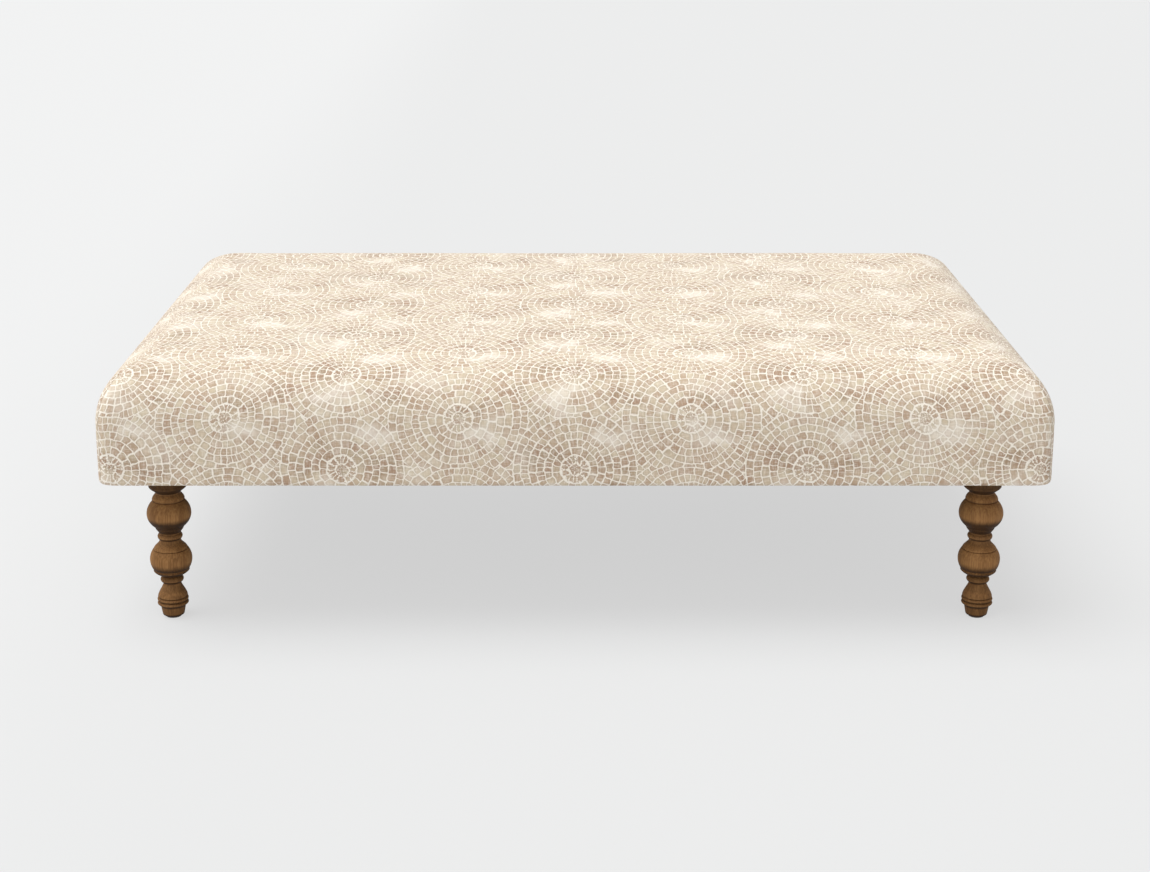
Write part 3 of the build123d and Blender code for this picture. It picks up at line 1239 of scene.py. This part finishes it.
def lights():
    """One wide soft sun from above and a little to the left."""
    lamp = bpy.data.lights.new("key", "SUN")
    lamp.energy = key_strength
    lamp.color = key_colour
    lamp.angle = math.radians(key_angle)
    lamp_object = placed("key", lamp)
    lamp_object.rotation_euler = Vector(key_from).to_track_quat("Z", "Y").to_euler()


# The camera, from the photograph's perspective, with its distances in widths of the table

sensor_width = 36.0
image_width, image_height = 1150, 872
focal_pixels = 2046
principal_row = 316
camera_tilt = 0.2392
back_widths = 2.0293
height_widths = 0.8459


def camera():
    """The photograph's viewpoint."""
    data = bpy.data.cameras.new("camera")
    data.sensor_width = sensor_width
    data.lens = sensor_width * focal_pixels / image_width
    data.shift_y = (principal_row - image_height / 2) / image_width
    view = placed("camera", data)
    back, height = (share * 2 * half_width for share in (back_widths, height_widths))
    view.location = (0.0, -half_depth - back, height)
    view.rotation_euler = (math.pi / 2 - camera_tilt, 0.0, 0.0)
    bpy.context.scene.camera = view


# Timber: darker and lighter grain. Plain surfaces: two colours, scale, roughness, relief, metal

leg_dark = colour(0.214, 0.097, 0.031)
leg_light = colour(0.384, 0.191, 0.067)
timber_dark = colour(0.50, 0.34, 0.18)
timber_light = colour(0.76, 0.60, 0.40)
board_dark = colour(0.48, 0.34, 0.20)
board_light = colour(0.70, 0.54, 0.36)
leg_grain = {"scale": 1.0, "gloss": 0.60, "depth": 0.0002}
timber_grain = {"scale": 0.6, "gloss": 0.6, "depth": 0.0004}
board_grain = {"scale": 0.4, "gloss": 0.6, "depth": 0.0003}
plain_surfaces = {
    "batting": (colour(0.86, 0.86, 0.84), colour(0.94, 0.94, 0.92), 500.0, 0.95, 0.0010),
    "foam": (colour(0.80, 0.76, 0.60), colour(0.88, 0.84, 0.70), 900.0, 0.95, 0.0008),
    "dust_cloth": (
        colour(0.020, 0.020, 0.021), colour(0.045, 0.045, 0.046), 1200.0, 0.92, 0.0004
    ),
    "glide_plastic": (
        colour(0.05, 0.038, 0.03), colour(0.07, 0.055, 0.045), 900.0, 0.5, 0.0002
    ),
    "zinc_steel": (
        colour(0.55, 0.55, 0.53), colour(0.66, 0.66, 0.64), 1500.0, 0.35, 0.0001, 1.0
    ),
}


def main():
    """Builds the pieces, their materials and the room."""
    printed = fabric_material()
    leg_wood = wood_material("leg_wood", leg_dark, leg_light, **leg_grain, with_painted_shade=True)
    timber = {
        along: wood_material(
            f"frame_timber_{along}", timber_dark, timber_light, **timber_grain, along=along
        )
        for along in "XYZ"
    }
    board = wood_material("deck_board", board_dark, board_light, **board_grain, along="X")
    plain = {name: speckled_material(name, *look) for name, look in plain_surfaces.items()}

    cover(printed)
    inner_pad("batting_pad", "batting_layer", plain["batting"], batting_thickness)
    inner_pad("foam_pad", "foam_core", plain["foam"])
    dust_sheet(plain["dust_cloth"])
    staples(plain["zinc_steel"])
    legs(leg_wood)
    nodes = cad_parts
    for name in ("front_rail", "back_rail"):
        paint(nodes[name], timber["X"])
    for name in ("left_rail", "right_rail", "left_brace", "centre_brace", "right_brace"):
        paint(nodes[name], timber["Y"])
    for end in ("front", "back"):
        for side in ("left", "right"):
            paint(nodes[f"leg_block_{end}_{side}"], timber["Z"])
    paint(nodes["deck_panel"], board)
    paint(nodes["foot_glides"], plain["glide_plastic"])
    for name in ("hanger_bolts", "tee_nuts"):
        paint(nodes[name], plain["zinc_steel"])

    room()
    lights()
    camera()
    bpy.context.scene.view_settings.view_transform = "Standard"


main()
